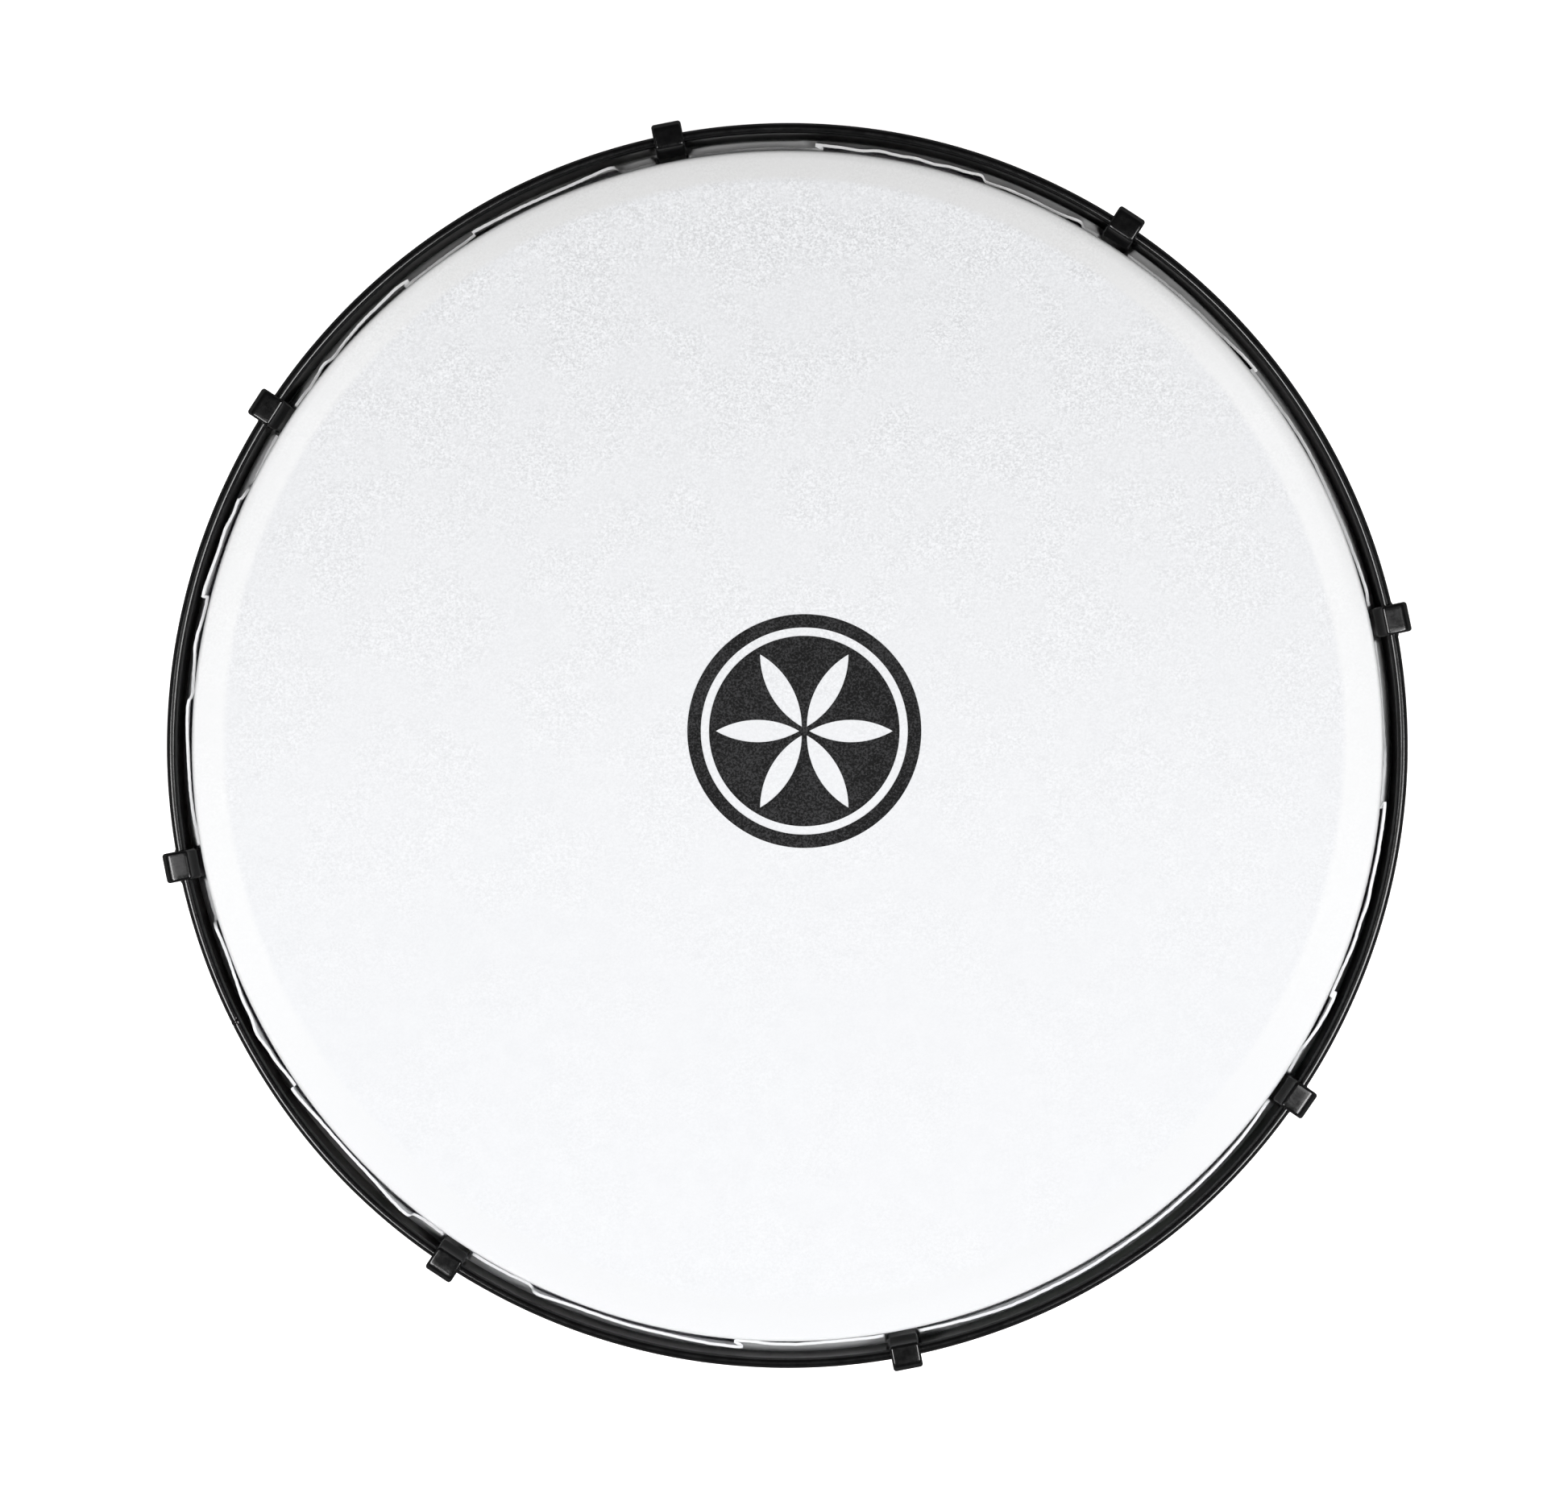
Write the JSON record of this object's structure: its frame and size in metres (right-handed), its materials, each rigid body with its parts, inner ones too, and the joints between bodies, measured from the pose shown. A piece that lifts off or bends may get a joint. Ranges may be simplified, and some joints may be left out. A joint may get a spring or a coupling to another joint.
{
  "type": "bodhran frame drum",
  "caption": "Round frame drum with a goatskin head on a bent wooden shell, tuned by claw hooks that pull a black counter hoop down.",
  "frame": {"origin": "centre of the open back rim, in the plane that the drum lies on", "axes": "+Z along the drum's axis, from the open back to the head; +X to the right and +Y up as a viewer who faces the head sees it"},
  "size_m": [0.3825, 0.383, 0.0969],
  "materials": {
    "shell_wood": "satin varnish",
    "bar_wood": "oiled",
    "goatskin": "bleached, dry, fine grained",
    "black_ink": "matt screen-printed ink",
    "black_steel": "semi-gloss black powder coat",
    "zinc_steel": "zinc plated"
  },
  "bodies": {
    "shell": {"shell": "shell_wood", "crossbar_lower": "bar_wood", "crossbar_upper": "bar_wood", "crossbar_screws": "zinc_steel", "goatskin_head": "goatskin", "goatskin_collar": "goatskin", "printed_roundel": "black_ink", "tuning_washers": "zinc_steel", "bracket_bolts": "zinc_steel", "bracket_bolt_washers": "zinc_steel", "bracket_bolt_nuts": "zinc_steel", "lug_bracket_1": "black_steel", "lug_bracket_2": "black_steel", "lug_bracket_3": "black_steel", "lug_bracket_4": "black_steel", "lug_bracket_5": "black_steel", "lug_bracket_6": "black_steel", "lug_bracket_7": "black_steel", "lug_bracket_8": "black_steel"},
    "hoop": {"counter_hoop": "black_steel", "flesh_hoop": "zinc_steel", "goatskin_lap": "goatskin", "tuning_hook_1": "black_steel", "tuning_hook_2": "black_steel", "tuning_hook_3": "black_steel", "tuning_hook_4": "black_steel", "tuning_hook_5": "black_steel", "tuning_hook_6": "black_steel", "tuning_hook_7": "black_steel", "tuning_hook_8": "black_steel"},
    "nut_1": {"tuning_nut_1": "zinc_steel"},
    "nut_2": {"tuning_nut_2": "zinc_steel"},
    "nut_3": {"tuning_nut_3": "zinc_steel"},
    "nut_4": {"tuning_nut_4": "zinc_steel"},
    "nut_5": {"tuning_nut_5": "zinc_steel"},
    "nut_6": {"tuning_nut_6": "zinc_steel"},
    "nut_7": {"tuning_nut_7": "zinc_steel"},
    "nut_8": {"tuning_nut_8": "zinc_steel"}
  },
  "joints": [
    {"name": "hoop_tuning", "type": "slide", "parent": "shell", "child": "hoop", "axis": [0, 0, 1], "range_m": [-0.004, 0.003], "deforming": ["goatskin_collar"]},
    {"name": "nut_turn_1", "type": "hinge", "parent": "shell", "child": "nut_1", "pos_m": [0.1853, 0.03871, 0.036], "axis": [0, 0, 1], "range_deg": [-1360, 1810]},
    {"name": "nut_turn_2", "type": "hinge", "parent": "shell", "child": "nut_2", "pos_m": [0.1031, 0.15876, 0.036], "axis": [0, 0, 1], "range_deg": [-1360, 1810]},
    {"name": "nut_turn_3", "type": "hinge", "parent": "shell", "child": "nut_3", "pos_m": [-0.03644, 0.18576, 0.036], "axis": [0, 0, 1], "range_deg": [-1360, 1810]},
    {"name": "nut_turn_4", "type": "hinge", "parent": "shell", "child": "nut_4", "pos_m": [-0.15876, 0.1031, 0.036], "axis": [0, 0, 1], "range_deg": [-1360, 1810]},
    {"name": "nut_turn_5", "type": "hinge", "parent": "shell", "child": "nut_5", "pos_m": [-0.18569, -0.03677, 0.036], "axis": [0, 0, 1], "range_deg": [-1360, 1810]},
    {"name": "nut_turn_6", "type": "hinge", "parent": "shell", "child": "nut_6", "pos_m": [-0.10448, -0.15785, 0.036], "axis": [0, 0, 1], "range_deg": [-1360, 1810]},
    {"name": "nut_turn_7", "type": "hinge", "parent": "shell", "child": "nut_7", "pos_m": [0.03612, -0.18582, 0.036], "axis": [0, 0, 1], "range_deg": [-1360, 1810]},
    {"name": "nut_turn_8", "type": "hinge", "parent": "shell", "child": "nut_8", "pos_m": [0.15563, -0.10776, 0.036], "axis": [0, 0, 1], "range_deg": [-1360, 1810]}
  ],
  "couplings": [
    {"joint": "nut_turn_1", "follows": "hoop_tuning", "rad_per_m": -7854},
    {"joint": "nut_turn_2", "follows": "hoop_tuning", "rad_per_m": -7854},
    {"joint": "nut_turn_3", "follows": "hoop_tuning", "rad_per_m": -7854},
    {"joint": "nut_turn_4", "follows": "hoop_tuning", "rad_per_m": -7854},
    {"joint": "nut_turn_5", "follows": "hoop_tuning", "rad_per_m": -7854},
    {"joint": "nut_turn_6", "follows": "hoop_tuning", "rad_per_m": -7854},
    {"joint": "nut_turn_7", "follows": "hoop_tuning", "rad_per_m": -7854},
    {"joint": "nut_turn_8", "follows": "hoop_tuning", "rad_per_m": -7854}
  ]
}
